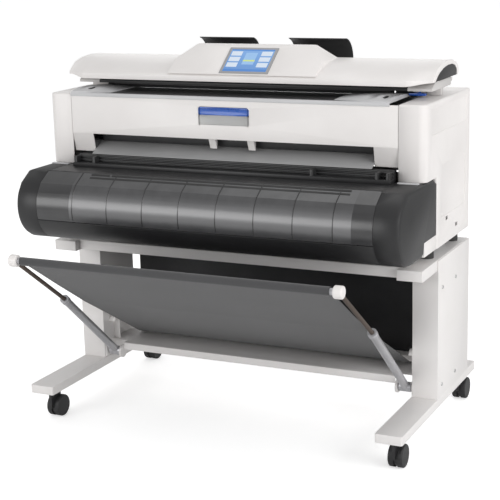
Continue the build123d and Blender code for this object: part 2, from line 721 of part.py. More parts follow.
with BuildPart() as glass:
    slab((-470, 470), (-24, 48), (base_high, base_high + 2))
save(glass, "scanner_glass")

for name, axis in (("feed", feed_axis), ("exit", exit_axis)):
    with BuildPart() as roller:
        round_x((-base_half + 5, base_half - 5), *axis, 4)
        for index in range(-4, 5):
            round_x((index * 120 - 30, index * 120 + 30), *axis, feed_radius)
    save(roller, f"{name}_roller")

# Scanner: cover shell, raised console and the lugs of the paper guides
cover_outline = [(lip_y, lip_bottom), (lip_y, lip_top), (-150, 1136), (-110, 1151), (-60, 1162),
                 (0, scan_top), (50, 1165), (85, 1156), (scan_back - 4, 1140), (scan_back, 1128),
                 (scan_back - 6, 1114)]
cover_inner = [(scan_back - 10, 1116), (scan_back - 5, 1128), (scan_back - 8, 1138), (82, 1152), (48, 1160),
               (0, scan_top - 5), (-59, 1157), (-108, 1146), (-148, 1131), (lip_y + 4, 1119),
               (lip_y + 4, lip_bottom)]
console_outline = [(face_low[0] + 4, face_low[1] - 1), face_low, face_high, (-56, 1213), (-44, 1211),
                   (14, 1164), (0, 1160), (-58, 1157), (-108, 1146), (-148, 1131)]
face_slope = degrees(atan2(face_high[1] - face_low[1], face_high[0] - face_low[0]))
screen_middle = ((face_low[0] + face_high[0]) / 2 - 3, (face_low[1] + face_high[1]) / 2 - 2)
screen_plane = Plane(origin=(screen_x, *screen_middle), x_dir=(1, 0, 0),
                     z_dir=(0, -sin(radians(face_slope)), cos(radians(face_slope))))
with BuildPart() as cover:
    prism_x((-scan_half, scan_half), cover_outline + cover_inner)
    prism_x((-238, 246), console_outline)
    for low, high in ((-238, -180), (246, 216)):
        with BuildSketch(Plane.XZ.offset(200)) as wedge:
            with BuildLine():
                Polyline((low, 1168), (high, 1216), (low * 1.2, 1216), (low * 1.2, 1168), close=True)
            make_face()
        extrude(wedge.sketch, amount=-300, mode=Mode.SUBTRACT)
    slab((-scan_half, scan_half), (-96, -84), (base_high + 4, 1152))
    slab((-scan_half + 10, scan_half - 10), (60, 66), (base_high + 4, 1160))
    with BuildSketch(screen_plane.offset(-2)) as pocket:
        Rectangle(screen_width, screen_length)
    extrude(pocket.sketch, amount=20, mode=Mode.SUBTRACT)
    for x in ((-42, -32), (58, 68)):
        slab(x, (scan_back - 8, guide_bar[0]), (guide_bar[1] - 6, guide_bar[1] + 6))
        round_x(x, *guide_bar, 7)
        round_x((x[0] - 1, x[1] + 1), *guide_bar, 4 + fit_gap, Mode.SUBTRACT)
    for side in (-1, 1):
        slab(sided(side, (base_half - 22, base_half - 12)), (scan_pivot_y - 5, scan_back - 6),
             (scan_pivot_z - 5, 1117))
        round_x(sided(side, (base_half - 22, base_half - 2)), scan_pivot_y, scan_pivot_z, 3)
save(cover, "scanner_cover")

with BuildPart() as screen:
    with BuildSketch(screen_plane.offset(-2)) as glass:
        Rectangle(screen_width - 0.4, screen_length - 0.4)
    extrude(glass.sketch, amount=3)
save(screen, "touch_screen")

fin_outline = [(-140, 1109), (-150, 1130), (-110, 1144), (-60, 1155), (0, 1160), (46, 1158), (80, 1149),
               (scan_back - 12, 1136), (scan_back - 9, 1128), (scan_back - 14, 1117), (70, 1111)]
with BuildPart() as fins:
    for side in (-1, 1):
        prism_x(sided(side, (scan_half - 9, scan_half - 5)), fin_outline)
    slab((-scan_half, scan_half), (-96.1, -83.9), (1100, 1160), Mode.SUBTRACT)
save(fins, "scanner_end_plates")

with BuildPart() as guides:
    for x in ((-243, -46), (78, 278)):
        with BuildSketch(Plane.YZ.offset(x[0])) as curve:
            with BuildLine():
                CenterArc(guide_centre, guide_radius, -20, 97)
                CenterArc(guide_centre, guide_radius - 3, -20, 97)
                for angle in (-20, 77):
                    Line((guide_centre[0] + guide_radius * cos(radians(angle)),
                          guide_centre[1] + guide_radius * sin(radians(angle))),
                         (guide_centre[0] + (guide_radius - 3) * cos(radians(angle)),
                          guide_centre[1] + (guide_radius - 3) * sin(radians(angle))))
            make_face()
        extrude(curve.sketch, amount=x[1] - x[0])
    round_x((-243, 278), *guide_bar, 4)
save(guides, "exit_guides")

with BuildPart() as lever:
    slab((536, 588), (-96, -84), (table_top + 4, table_top + 11))
    slab((540, 552), (-90, -32), (table_top + 4, table_top + 8))
    round_z(*lever_axis, (table_top + 4, table_top + 8), 8)
    round_z(*lever_axis, (table_top + 7, base_low + 5), 3)
save(lever, "release_lever")
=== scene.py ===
import json
import math
import bmesh
import bpy
from mathutils import Matrix, Vector
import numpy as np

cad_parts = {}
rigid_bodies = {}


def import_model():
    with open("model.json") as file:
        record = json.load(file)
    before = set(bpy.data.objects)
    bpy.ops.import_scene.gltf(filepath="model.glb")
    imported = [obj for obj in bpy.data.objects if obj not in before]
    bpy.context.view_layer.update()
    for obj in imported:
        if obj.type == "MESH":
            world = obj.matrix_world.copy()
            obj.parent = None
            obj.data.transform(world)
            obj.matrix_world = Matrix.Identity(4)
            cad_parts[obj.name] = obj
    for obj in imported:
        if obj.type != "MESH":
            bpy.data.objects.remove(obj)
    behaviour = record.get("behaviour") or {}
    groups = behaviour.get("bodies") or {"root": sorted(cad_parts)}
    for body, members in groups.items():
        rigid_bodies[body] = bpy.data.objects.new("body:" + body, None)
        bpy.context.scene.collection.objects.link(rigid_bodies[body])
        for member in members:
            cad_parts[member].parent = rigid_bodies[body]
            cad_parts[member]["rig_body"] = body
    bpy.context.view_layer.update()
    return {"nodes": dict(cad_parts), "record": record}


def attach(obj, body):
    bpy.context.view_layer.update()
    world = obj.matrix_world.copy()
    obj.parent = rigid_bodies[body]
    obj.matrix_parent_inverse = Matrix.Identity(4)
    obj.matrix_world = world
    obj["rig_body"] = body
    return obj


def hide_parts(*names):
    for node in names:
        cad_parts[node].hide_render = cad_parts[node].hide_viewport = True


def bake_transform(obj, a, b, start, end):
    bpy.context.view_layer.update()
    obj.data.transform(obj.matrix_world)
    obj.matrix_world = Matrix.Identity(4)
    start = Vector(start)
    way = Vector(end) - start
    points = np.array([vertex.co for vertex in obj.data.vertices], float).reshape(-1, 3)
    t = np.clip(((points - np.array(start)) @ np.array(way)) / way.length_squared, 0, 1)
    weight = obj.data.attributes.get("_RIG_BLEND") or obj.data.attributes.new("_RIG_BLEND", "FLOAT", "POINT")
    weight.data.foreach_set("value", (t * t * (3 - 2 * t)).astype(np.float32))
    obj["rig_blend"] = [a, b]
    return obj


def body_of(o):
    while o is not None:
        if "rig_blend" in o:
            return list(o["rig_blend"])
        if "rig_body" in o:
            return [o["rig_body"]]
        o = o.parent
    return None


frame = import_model()
print("frame loaded:", len(frame["nodes"]), "pieces")

shiftBack = 179.5  # millimetres from the working origin to the middle of the machine


def at(x, y, z):
    return Vector((x / 1000, (y + shiftBack) / 1000, z / 1000))


# Shader maths: a Field is one socket, and arithmetic on it adds Math nodes
class Field:
    def __init__(self, surface, socket):
        self.surface = surface
        self.socket = socket

    def maths(self, operation, *others):
        return self.surface.node("ShaderNodeMath", {"operation": operation}, [self, *others])

    def __add__(self, other):
        return self.maths("ADD", other)

    def __radd__(self, other):
        return self.maths("ADD", other)

    def __sub__(self, other):
        return self.maths("SUBTRACT", other)

    def __rsub__(self, other):
        return self.surface.node("ShaderNodeMath", {"operation": "SUBTRACT"}, [other, self])

    def __mul__(self, other):
        return self.maths("MULTIPLY", other)

    def __gt__(self, other):
        return self.maths("GREATER_THAN", other)

    def __lt__(self, other):
        return self.maths("LESS_THAN", other)

    def __abs__(self):
        return self.maths("ABSOLUTE")

    def fract(self):
        return self.maths("FRACT")

    def sin(self):
        return self.maths("SINE")

    def clamp(self):
        return self.surface.node("ShaderNodeClamp", {}, [self])


class Surface:
    # one material: its Principled shader and a short way to add any other node
    def __init__(self, name, **settings):
        self.material = bpy.data.materials.new(name)
        self.material.use_nodes = True
        self.tree = self.material.node_tree
        self.shader = next(n for n in self.tree.nodes if n.type == "BSDF_PRINCIPLED")
        for socket, value in settings.items():
            self.set(socket.replace("_", " "), value)

    def set(self, socket, value):
        target = self.shader.inputs[socket]
        if isinstance(value, Field):
            self.tree.links.new(value.socket, target)
        elif isinstance(value, tuple):
            target.default_value = (*value, 1.0) if len(value) == 3 else value
        else:
            target.default_value = value

    def node(self, kind, settings, sockets, output=0):
        made = self.tree.nodes.new(kind)
        for key, value in settings.items():
            setattr(made, key, value)
        pairs = sockets.items() if isinstance(sockets, dict) else enumerate(sockets)
        for key, value in pairs:
            target = made.inputs[key]
            if isinstance(value, Field):
                self.tree.links.new(value.socket, target)
            elif isinstance(value, tuple) and target.type == "RGBA":
                target.default_value = (*value, 1.0) if len(value) == 3 else value
            else:
                target.default_value = value
        return Field(self, made.outputs[output])

    def place(self, scale=(1, 1, 1), source="Object"):
        coordinates = self.tree.nodes.new("ShaderNodeTexCoord")
        spot = Field(self, coordinates.outputs[source])
        return self.node("ShaderNodeMapping", {}, {"Vector": spot, "Scale": scale})

    def axes(self, spot):
        split = self.tree.nodes.new("ShaderNodeSeparateXYZ")
        self.tree.links.new(spot.socket, split.inputs[0])
        return [Field(self, socket) for socket in split.outputs]

    def noise(self, spot, scale, detail=3.0, roughness=0.5):
        return self.node("ShaderNodeTexNoise", {}, {"Vector": spot, "Scale": scale, "Detail": detail,
                                                    "Roughness": roughness})

    def tint(self, amount, dark, light):
        return self.node("ShaderNodeMix", {"data_type": "RGBA"}, {0: amount, 6: dark, 7: light}, 2)

    def spread(self, amount, low=0.0, high=1.0):
        return self.node("ShaderNodeMapRange", {}, {0: amount, 1: 0.25, 2: 0.75, 3: low, 4: high})

    def bump(self, height, strength, distance):
        self.set("Normal", self.node("ShaderNodeBump", {}, {"Strength": strength, "Distance": distance,
                                                            "Height": height}))
        return self


# Materials, each with the grain, tone and wear of its own finish
finishes = {
    "whitePlastic": {"dark": (0.79, 0.76, 0.745), "light": (0.85, 0.825, 0.81),
                     "rough": (0.38, 0.5), "grain": 1400},
    "greyPlastic": {"dark": (0.5, 0.5, 0.51), "light": (0.6, 0.6, 0.61),
                    "rough": (0.4, 0.52), "grain": 1400},
    "blackPlastic": {"dark": (0.012, 0.012, 0.013), "light": (0.024, 0.024, 0.025),
                     "rough": (0.36, 0.5), "grain": 1600},
    "wheelPlastic": {"dark": (0.012, 0.012, 0.013), "light": (0.03, 0.03, 0.031),
                     "rough": (0.42, 0.62), "grain": 900},
    "gearPlastic": {"dark": (0.66, 0.63, 0.54), "light": (0.76, 0.73, 0.64),
                    "rough": (0.35, 0.5), "grain": 900},
    # painted shade: the finger scoop is mid grey, darker than the white cover, for the shade in its recess
    "scoopShadePlastic": {"dark": (0.46, 0.46, 0.45), "light": (0.54, 0.54, 0.53),
                     "rough": (0.4, 0.52), "grain": 1400},
    "rubber": {"dark": (0.02, 0.02, 0.02), "light": (0.045, 0.045, 0.045),
               "rough": (0.6, 0.8), "grain": 700},
}


def mouldedPlastic(name, strength=0.12):
    look = finishes[name]
    surface = Surface(name)
    spot = surface.place()
    cloud = surface.noise(spot, scale=6.0, detail=4.0)
    fine = surface.noise(spot, scale=look["grain"], detail=2.0)
    surface.set("Base Color", surface.tint(surface.spread(cloud), look["dark"], look["light"]))
    surface.set("Roughness", surface.spread(fine, *look["rough"]))
    return surface.bump(fine, strength, distance=0.0002).material


def glossPlastic(name, dark, light, rough=(0.08, 0.2), coat=0.6):
    surface = Surface(name)
    surface.set("Coat Weight", coat)
    surface.set("Coat Roughness", 0.05)
    spot = surface.place()
    cloud = surface.noise(spot, scale=9.0, detail=3.0)
    surface.set("Base Color", surface.tint(surface.spread(cloud), dark, light))
    surface.set("Roughness", surface.spread(surface.noise(spot, scale=40.0, detail=4.0), *rough))
    return surface.bump(surface.noise(spot, scale=25.0, detail=2.0), 0.03, distance=0.001).material


def powderCoat(name, dark, light, rough=(0.32, 0.46)):
    # thick paint with a faint orange-peel surface
    surface = Surface(name)
    spot = surface.place()
    cloud = surface.noise(spot, scale=5.0, detail=4.0)
    peel = surface.noise(spot, scale=420.0, detail=2.0)
    surface.set("Base Color", surface.tint(surface.spread(cloud), dark, light))
    surface.set("Roughness", surface.spread(peel, *rough))
    return surface.bump(peel, 0.1, distance=0.0004).material


def drawnMetal(name, dark, light, along, rough=(0.25, 0.42), metallic=1.0):
    # fine parallel lines along one axis, as rolled or ground metal has
    surface = Surface(name, Metallic=metallic)
    stretch = [900.0, 900.0, 900.0]  # lines to the metre across the grain
    stretch[along] = 6.0
    lines = surface.noise(surface.place(tuple(stretch)), scale=1.0, detail=3.0)
    cloud = surface.noise(surface.place(), scale=7.0, detail=3.0)
    surface.set("Base Color", surface.tint(surface.spread(lines * 0.5 + cloud * 0.5), dark, light))
    surface.set("Roughness", surface.spread(lines, *rough))
    return surface.bump(lines, 0.08, distance=0.0002).material


def wovenCloth(name, dark, light, pitch=0.0011):
    # plain weave on the cloth's own UV map, which is in metres
    surface = Surface(name, Sheen_Weight=0.25, Sheen_Roughness=0.5)
    across, up, _ = surface.axes(surface.place((1 / pitch, 1 / pitch, 1), "UV"))
    warp = abs((across * math.pi).sin())
    weft = abs((up * math.pi).sin())
    checker = ((across * 0.5).fract() > 0.5) - ((up * 0.5).fract() > 0.5)
    over = abs(checker)
    height = warp * over + weft * (1 - over)
    cloud = surface.noise(surface.place(source="UV"), scale=7.0, detail=5.0)
    surface.set("Base Color", surface.tint(height * 0.55 + cloud * 0.45, dark, light))
    surface.set("Roughness", surface.spread(cloud, 0.78, 0.92))
    return surface.bump(height, 0.35, distance=0.0004).material


def rolledPaper(name):
    # wound layers show as fine rings on the ends and faint bands round the roll
    rollAxis = at(0, -360, 727)
    windings = 2400.0
    surface = Surface(name)
    spot = surface.place()
    _, y, z = surface.axes(spot)
    dy = y - rollAxis.y
    dz = z - rollAxis.z
    radius = (dy * dy + dz * dz).maths("SQRT")
    rings = (radius * windings).sin()
    cloud = surface.noise(spot, scale=14.0, detail=4.0)
    surface.set("Base Color", surface.tint(rings * 0.25 + cloud, (0.7, 0.69, 0.65), (0.84, 0.83, 0.8)))
    surface.set("Roughness", surface.spread(cloud, 0.7, 0.85))
    return surface.bump(rings, 0.15, distance=0.0002).material


def ribbedWindow(name):
    # dark glossy moulding: a smoky window with a painted highlight, a lighter band across it, between two
    # darker, striped ends
    window = {"left": -0.44, "right": 0.495, "axis": 0.728, "band": 0.018, "fade": 22.0, "stripes": 42.0}
    surface = Surface(name, Coat_Roughness=0.2)
    spot = surface.place()
    x, _, z = surface.axes(spot)
    inside = (x > window["left"]) * (x < window["right"])
    rise = z - window["axis"]
    stripes = ((rise * window["stripes"]).sin() * 0.5 + 0.5) * (1 - inside)
    # painted highlight: a lighter band just above the door's axis, where a lamp's reflection would lie
    glow = (1 - abs(rise - window["band"]) * window["fade"]).clamp() * inside
    scuff = surface.noise(surface.place((3, 60, 60)), scale=2.0, detail=4.0)
    dust = surface.noise(spot, scale=18.0, detail=5.0)
    base = surface.tint(surface.spread(dust), (0.045, 0.045, 0.047), (0.07, 0.07, 0.073))
    base = surface.tint(glow * 0.9, base, (0.19, 0.19, 0.195))
    base = surface.tint((1 - inside) * (0.35 + stripes * 0.5), base, (0.014, 0.014, 0.015))
    surface.set("Base Color", base)
    surface.set("Roughness", surface.spread(scuff, 0.28, 0.4))
    surface.set("Coat Weight", surface.spread(scuff, 0.5, 0.8))
    return surface.bump(surface.noise(spot, scale=14.0, detail=2.0), 0.04, distance=0.002).material


def scannerBase(name):
    # black between the end blocks, which are pale
    blackHalf = 0.535
    surface = Surface(name)
    spot = surface.place()
    x, _, _ = surface.axes(spot)
    fine = surface.noise(spot, scale=1400.0, detail=2.0)
    cloud = surface.noise(spot, scale=6.0, detail=4.0)
    pale = surface.tint(surface.spread(cloud), (0.6, 0.58, 0.57), (0.68, 0.66, 0.65))
    dark = surface.tint(surface.spread(cloud), (0.012, 0.012, 0.013), (0.022, 0.022, 0.023))
    surface.set("Base Color", surface.tint(abs(x) > blackHalf, dark, pale))
    surface.set("Roughness", surface.spread(fine, 0.4, 0.55))
    return surface.bump(fine, 0.1, distance=0.0002).material


def clearPane(name):
    surface = Surface(name, IOR=1.5, Alpha=0.35)
    spot = surface.place()
    smear = surface.noise(spot, scale=20.0, detail=4.0)
    surface.set("Base Color", surface.tint(smear, (0.45, 0.55, 0.53), (0.62, 0.7, 0.69)))
    surface.set("Roughness", surface.spread(smear, 0.03, 0.1))
    return surface.material


def screenLayout(name):
    # generic layout: title bar, three tiles on each side, a preview and a bottom bar
    areas = {"glass": (0.055, 0.945, 0.07, 0.93), "preview": (0.38, 0.62, 0.34, 0.8),
             "stripe": (0.38, 0.62, 0.46, 0.52), "bottom": (0.055, 0.945, 0.07, 0.16),
             "title": (0.055, 0.945, 0.88, 0.93)}
    tileColumns = ((0.08, 0.3), (0.7, 0.92))
    tileRows = (0.24, 0.46, 0.68)
    tileHigh = 0.17
    surface = Surface(name)
    u, v, _ = surface.axes(surface.place(source="UV"))

    def box(left, right, low, high):
        return (u > left) * (u < right) * (v > low) * (v < high)

    glass = box(*areas["glass"])
    sky = surface.tint(v, (0.09, 0.24, 0.56), (0.17, 0.36, 0.7))
    tiles = None
    for left, right in tileColumns:
        for low in tileRows:
            tile = box(left, right, low, low + tileHigh)
            tiles = tile if tiles is None else tiles + tile
    shade = surface.tint(tiles.clamp(), sky, (0.6, 0.68, 0.78))
    shade = surface.tint(box(*areas["preview"]), shade, (0.26, 0.46, 0.74))
    shade = surface.tint(box(*areas["stripe"]), shade, (0.55, 0.68, 0.2))
    bars = box(*areas["bottom"]) + box(*areas["title"])
    shade = surface.tint(bars.clamp(), shade, (0.05, 0.2, 0.55))
    frameShade = surface.noise(surface.place(), scale=900.0, detail=2.0)
    rim = surface.tint(frameShade, (0.3, 0.3, 0.31), (0.36, 0.36, 0.37))
    surface.set("Base Color", surface.tint(glass, rim, shade))
    surface.set("Emission Color", surface.tint(glass, (0.0, 0.0, 0.0), shade))
    surface.set("Emission Strength", 0.12)
    surface.set("Roughness", 0.3 - glass * 0.18)
    return surface.material


paint = {
    "white_steel": powderCoat("whiteSteel", (0.78, 0.755, 0.74), (0.84, 0.82, 0.81)),
    "dark_steel": powderCoat("darkSteel", (0.03, 0.03, 0.032), (0.055, 0.055, 0.058), (0.5, 0.7)),
    "bolt_steel": drawnMetal("boltSteel", (0.5, 0.5, 0.5), (0.7, 0.7, 0.7), 0),
    "bare_steel": drawnMetal("galvanisedSteel", (0.42, 0.43, 0.44), (0.6, 0.61, 0.62), 0, (0.3, 0.5)),
    "grey_tube": drawnMetal("greyTube", (0.42, 0.42, 0.44), (0.6, 0.6, 0.62), 1, (0.3, 0.4), 0.6),
    "dark_rod": drawnMetal("darkRod", (0.07, 0.055, 0.045), (0.13, 0.1, 0.085), 1, (0.3, 0.4), 0.5),
    "white_plastic": mouldedPlastic("whitePlastic"),
    "grey_plastic": mouldedPlastic("greyPlastic"),
    "black_plastic": mouldedPlastic("blackPlastic"),
    "wheel_plastic": mouldedPlastic("wheelPlastic", 0.2),
    "gear_plastic": mouldedPlastic("gearPlastic"),
    "foot_rubber": mouldedPlastic("rubber", 0.3),
    "blue_plastic": glossPlastic("bluePlastic", (0.003, 0.07, 0.4), (0.008, 0.11, 0.52), (0.25, 0.35), 0.3),
    "smoky_plastic": ribbedWindow("smokyPlasticPaintedHighlight"),
    "cloth": wovenCloth("basketCloth", (0.028, 0.028, 0.03), (0.082, 0.082, 0.085)),
    "drum_coating": glossPlastic("drumCoating", (0.006, 0.03, 0.025), (0.01, 0.05, 0.042)),
    "fuser_coating": glossPlastic("fuserCoating", (0.12, 0.045, 0.03), (0.17, 0.07, 0.045), (0.25, 0.4), 0.2),
    "dark_aluminium": drawnMetal("darkAluminium", (0.1, 0.1, 0.105), (0.18, 0.18, 0.185), 0,
                                 (0.28, 0.42), 0.8),
    "plain_aluminium": drawnMetal("plainAluminium", (0.52, 0.52, 0.53), (0.68, 0.68, 0.69), 0),
    "paper": rolledPaper("rollPaper"),
    "clear_glass": clearPane("scannerGlass"),
    "screen_glass": screenLayout("screenLayout"),
}
paint["roller_rubber"] = paint["rubber"] = paint["foot_rubber"]
paint["scoop"] = mouldedPlastic("scoopShadePlastic")
paint["ribs"] = glossPlastic("ribPlastic", (0.012, 0.012, 0.013), (0.024, 0.024, 0.025), (0.25, 0.4), 0.3)
paint["base"] = scannerBase("scannerBasePlastic")
paint["plate"] = drawnMetal("exitPlateSteel", (0.3, 0.3, 0.302), (0.38, 0.38, 0.383), 0, (0.5, 0.6), 0.1)
print("materials made:", len(paint))

slotOf = {part["node"]: part["material_slot"] for part in frame["record"]["subparts"]}
ownLook = {"exit_plate": "plate", "scanner_base": "base"}
# faces with holes in them don't survive the dissolve
pierced = ("rear_cover", "front_cover", "exit_guide", "base_tray", "left_side_cover", "right_side_cover")
mergeWithin = 0.00002
flatWithin = math.radians(1.0)
softAngle = 35


def applied(piece):
    graph = bpy.context.evaluated_depsgraph_get()
    graph.update()
    made = bpy.data.meshes.new_from_object(piece.evaluated_get(graph))
    piece.modifiers.clear()
    piece.data = made
    return piece


def smoothed(piece, angle=softAngle):
    piece.data.polygons.foreach_set("use_smooth", [True] * len(piece.data.polygons))
    piece.data.set_sharp_from_angle(angle=math.radians(angle))
    return piece


def painted(piece, material):
    piece.data.materials.clear()
    piece.data.materials.append(material)
    return piece


def softBevel(piece, width, segments=2, angle=softAngle, corners="MITER_SHARP"):
    bevel = piece.modifiers.new("edges", "BEVEL")
    bevel.width = width / 1000
    bevel.segments = segments
    bevel.limit_method = "ANGLE"
    bevel.angle_limit = math.radians(angle)
    bevel.miter_outer = corners
    applied(piece)
    return smoothed(piece, angle)


# Each CAD piece that keeps its shape gets softened edges on a merged copy
def softened(node, width, segments, angle=softAngle, reshape=None):
    source = frame["nodes"][node]
    mesh = source.data.copy()
    shape = bmesh.new()
    shape.from_mesh(mesh)
    bmesh.ops.remove_doubles(shape, verts=shape.verts, dist=mergeWithin)
    if node not in pierced:
        bmesh.ops.dissolve_limit(shape, angle_limit=flatWithin, verts=shape.verts, edges=shape.edges)
    if reshape:
        reshape(shape)
    bmesh.ops.recalc_face_normals(shape, faces=shape.faces)
    shape.to_mesh(mesh)
    shape.free()
    piece = bpy.data.objects.new(node + "_soft", mesh)
    bpy.context.scene.collection.objects.link(piece)
    softBevel(piece, width, segments, angle, "MITER_ARC")
    painted(piece, paint[ownLook.get(node, slotOf[node])])
    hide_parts(node)
    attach(piece, body_of(source)[0])


def facedOut(piece):
    shape = bmesh.new()
    shape.from_mesh(piece.data)
    bmesh.ops.recalc_face_normals(shape, faces=shape.faces)
    shape.to_mesh(piece.data)
    shape.free()
    return piece


def newPiece(name, points, faces, material, body, angle=softAngle, uv=None):
    mesh = bpy.data.meshes.new(name)
    mesh.from_pydata([tuple(p) for p in points], [], faces)
    mesh.update()
    if uv:
        layer = mesh.uv_layers.new(name="UVMap")
        for loop in mesh.loops:
            layer.data[loop.index].uv = uv[loop.vertex_index]
    piece = bpy.data.objects.new(name, mesh)
    bpy.context.scene.collection.objects.link(piece)
    painted(piece, material)
    smoothed(piece, angle)
    if body:
        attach(piece, body)
    return piece


# Scanner cover: its front edge draws back towards both ends and the console flares out to the right
coverEnd = {"from": 545, "over": 80, "back": 36, "lift": 9,
            "cuts": (548, 556, 566, 576, 586, 596, 606, 614, 620),
            "frontFrom": -95, "frontOver": 83, "lowFrom": 1122, "lowOver": 17, "above": 1100}
console = {"flank": (216.5, 247), "above": 1119, "foot": 216, "over": 30, "flare": 22}


def share(value):
    return min(max(value, 0), 1)


def drawnBack(x, y, z):
    near = share((abs(x) - coverEnd["from"]) / coverEnd["over"])
    near = near * near * (3 - 2 * near)
    front = share((coverEnd["frontFrom"] - y) / coverEnd["frontOver"])
    low = share((coverEnd["lowFrom"] - z) / coverEnd["lowOver"])
    return y + coverEnd["back"] * near * front, z + coverEnd["lift"] * near * front * low


def coverShape(shape):
    for side in (-1, 1):
        for x in coverEnd["cuts"]:
            everything = shape.verts[:] + shape.edges[:] + shape.faces[:]
            bmesh.ops.bisect_plane(shape, geom=everything, dist=0.000001, plane_co=at(side * x, 0, 0),
                                   plane_no=Vector((1, 0, 0)))
    for vert in shape.verts:
        x, y, z = vert.co.x * 1000, vert.co.y * 1000 - shiftBack, vert.co.z * 1000
        if z > coverEnd["above"]:
            y, z = drawnBack(x, y, z)
        if console["flank"][0] < x < console["flank"][1] and z > console["above"]:
            x += console["flare"] * (x - console["foot"]) / console["over"]
        vert.co = at(x, y, z)


softened("scanner_cover", 1.4, 3, 30, coverShape)

edges = {
    "plain": (["left_foot", "right_foot"], 2.5, 3),
    "frame": (["left_leg", "right_leg", "left_top_rail", "right_top_rail", "front_cross_beam",
               "rear_cross_bars", "lower_shelf", "rear_panel", "arm_hooks", "base_tray",
               "side_plates"], 1.0, 2),
    "covers": (["left_side_cover", "right_side_cover", "rear_cover", "front_cover"], 1.2, 2),
    "deck": (["left_deck_cap", "right_deck_cap", "deck_housing", "exit_guide", "exit_plate"], 0.8, 2),
    "scanner": (["scanner_base", "exit_guides", "document_table", "release_lever"], 1.0, 2),
    "basket": (["arm_tubes", "arm_rods", "basket_bar", "bar_end_caps"], 0.6, 2),
}
for group, (nodes, width, segments) in edges.items():
    for node in nodes:
        softened(node, width, segments)
    print("softened:", group)

# A pale rim round each end of the cover, and a black plate inside it
rim = {"half": 622, "thick": 6, "plate": (619, 625.6),
       "outer": ((-142, 1114), (-142, 1122), (-126, 1136), (-103.5, 1151), (-60, 1162), (-30, 1165),
                 (0, 1167), (50, 1165), (85, 1156), (108, 1140), (112, 1128), (106, 1114)),
       "inner": ((-124, 1114), (-117, 1118), (-102, 1128), (-80, 1138), (-47, 1147), (-24, 1150.5),
                 (2, 1153), (46, 1152.5), (76, 1146), (95, 1134), (98, 1126), (96, 1114))}


def block(verts, faces, x0, x1, outline):
    # adds a bar of that outline, in Y and Z, between two X values
    base = len(verts)
    count = len(outline)
    for x in (x0, x1):
        verts.extend(at(x, y, z) for y, z in outline)
    faces.append(tuple(base + i for i in range(count)))
    faces.append(tuple(base + count + i for i in reversed(range(count))))
    faces.extend((base + i, base + count + i, base + count + (i + 1) % count, base + (i + 1) % count)
                 for i in range(count))


for side, label in ((-1, "Left"), (1, "Right")):
    count = len(rim["outer"])
    verts, faces = [], []
    for x in (rim["half"], rim["half"] + rim["thick"]):
        for line in ("outer", "inner"):
            verts.extend(at(side * x, y, z) for y, z in rim[line])
    for i in range(count - 1):
        faces.append((i, i + 1, count + i + 1, count + i))
        faces.append((2 * count + i, 3 * count + i, 3 * count + i + 1, 2 * count + i + 1))
        faces.append((i, 2 * count + i, 2 * count + i + 1, i + 1))
        faces.append((count + i, count + i + 1, 3 * count + i + 1, 3 * count + i))
    for i in (0, count - 1):
        faces.append((i, count + i, 3 * count + i, 2 * count + i))
    ring = facedOut(newPiece("coverRim" + label, verts, faces, paint["white_plastic"], "scanner_cover"))
    softBevel(ring, 2.2, 3, 50)
    verts, faces = [], []
    block(verts, faces, side * rim["plate"][0], side * rim["plate"][1], rim["inner"])
    plate = facedOut(newPiece("coverEnd" + label, verts, faces, paint["black_plastic"], "scanner_cover"))
    softBevel(plate, 1.2, 2, 50)
    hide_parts("scanner_end_plates")
print("scanner cover made")

# Document table: a pale front edge and wedge-shaped end pieces with oval recesses
tableEdge = {"x": (-556, 530),
             "outline": ((-252.5, 1056), (-252.5, 1064), (-250.5, 1067.5), (-243, 1067.5), (-243, 1065.8),
                         (-249.8, 1065.5), (-249.8, 1056))}
verts, faces = [], []
block(verts, faces, *tableEdge["x"], tableEdge["outline"])
trim = facedOut(newPiece("tableTrim", verts, faces, paint["grey_plastic"], "upper_unit"))
softBevel(trim, 0.5)

wedge = {"spans": {"Left": (-555, -425, -1), "Right": (345, 531, 1)}, "columns": 30, "rows": 10,
         "front": -251, "sweep": 34, "back": -64, "under": 1065.4, "over": 1066, "least": 1.2,
         "low": 3, "rise": 11, "crest": 1.35, "fallFrom": 0.85,
         "ovals": (0.62, 0.86), "ovalAt": 0.34, "ovalHalf": (0.085, 0.22), "ovalDeep": 5.5}


def wedgeHeight(toward, v):
    # rises from the inner end and the front edge, less the two ovals; toward is 1 at the outer end
    height = wedge["low"] + wedge["rise"] * math.sin(math.pi * 0.5 * min(1, toward * wedge["crest"])) * (
        1 if toward < wedge["fallFrom"] else 1 - (toward - wedge["fallFrom"]))
    lift = height * min(1, 0.35 + 2.4 * v) * (1 - max(0, v - 0.55) * 1.1)
    for middle in wedge["ovals"]:
        dx = (toward - middle) / wedge["ovalHalf"][0]
        dy = (v - wedge["ovalAt"]) / wedge["ovalHalf"][1]
        lift -= wedge["ovalDeep"] * max(0, 1 - (dx * dx + dy * dy) ** 2)
    return max(lift, wedge["least"])


